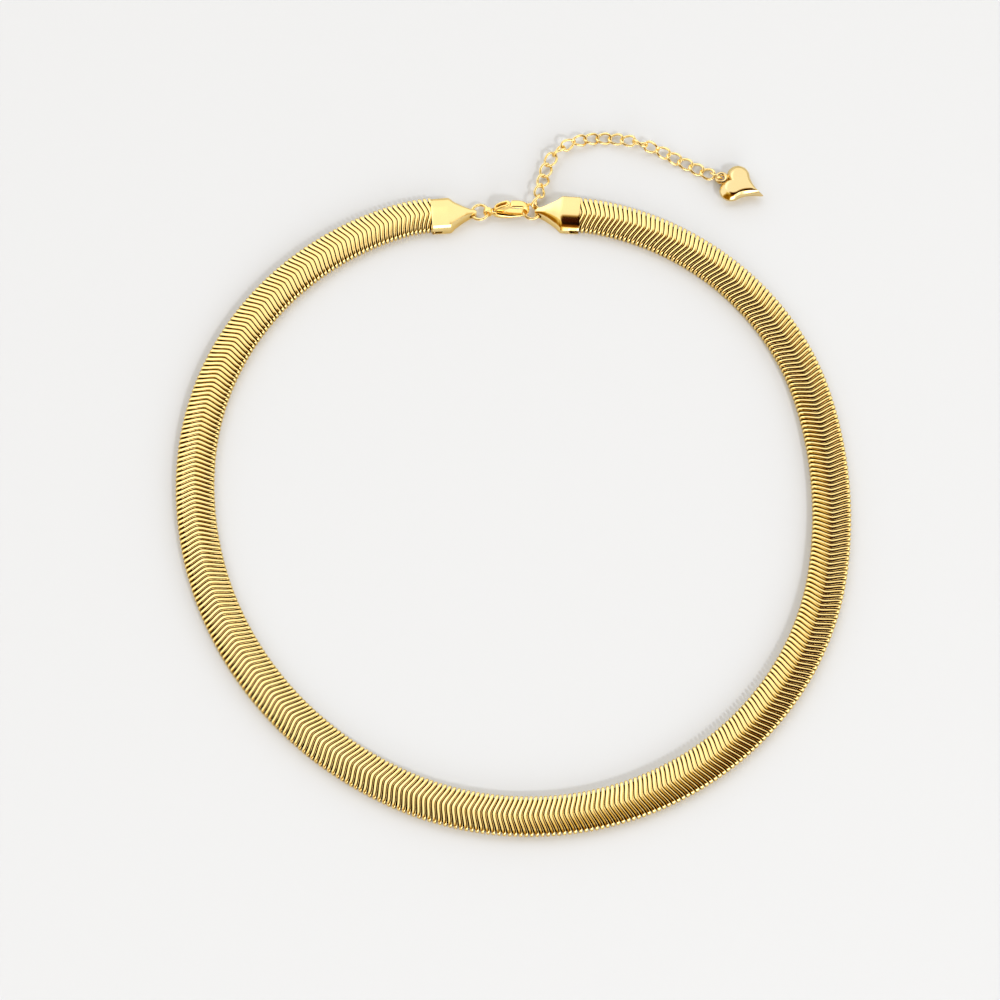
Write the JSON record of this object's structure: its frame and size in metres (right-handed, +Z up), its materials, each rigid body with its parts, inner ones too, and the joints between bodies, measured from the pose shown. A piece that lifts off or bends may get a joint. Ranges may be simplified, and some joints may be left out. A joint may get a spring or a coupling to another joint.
{
  "type": "herringbone chain necklace",
  "caption": "Flat woven herringbone chain in a closed loop, with folded end caps, a lobster clasp and a curb-link extender that ends in a puffed heart drop.",
  "frame": {"origin": "middle of the closed loop, on the surface that the necklace lies on", "axes": "+X to the side of the extender, +Y from the loop's middle to the clasp, +Z up from the surface"},
  "size_m": [0.1349, 0.1516, 0.0041],
  "materials": {
    "woven_gold": "polished",
    "cap_gold": "satin",
    "fitting_gold": "polished",
    "drop_gold": "polished"
  },
  "bodies": {
    "necklace": {"band": "woven_gold", "end_cap_left": "cap_gold", "end_cap_right": "cap_gold", "jump_ring_left": "fitting_gold", "jump_ring_right": "fitting_gold", "clasp_body": "fitting_gold", "extender_link_01": "fitting_gold", "extender_link_02": "fitting_gold", "extender_link_03": "fitting_gold", "extender_link_04": "fitting_gold", "extender_link_05": "fitting_gold", "extender_link_06": "fitting_gold", "extender_link_07": "fitting_gold", "extender_link_08": "fitting_gold", "extender_link_09": "fitting_gold", "extender_link_10": "fitting_gold", "extender_link_11": "fitting_gold", "extender_link_12": "fitting_gold", "extender_link_13": "fitting_gold", "extender_link_14": "fitting_gold", "extender_link_15": "fitting_gold", "extender_link_16": "fitting_gold", "extender_link_17": "fitting_gold", "extender_link_18": "fitting_gold", "extender_link_19": "fitting_gold", "heart_ring": "fitting_gold", "heart_drop": "drop_gold"},
    "lever": {"clasp_lever": "fitting_gold"}
  },
  "joints": [
    {"name": "lever_hinge", "type": "hinge", "parent": "necklace", "child": "lever", "pos_m": [-0.00211, 0.06437, 0.00137], "axis": [0, 0.9703, -0.2419], "range_deg": [0, 18], "stiffness_Nm_per_rad": 0.00002, "springref_deg": -17.19}
  ]
}
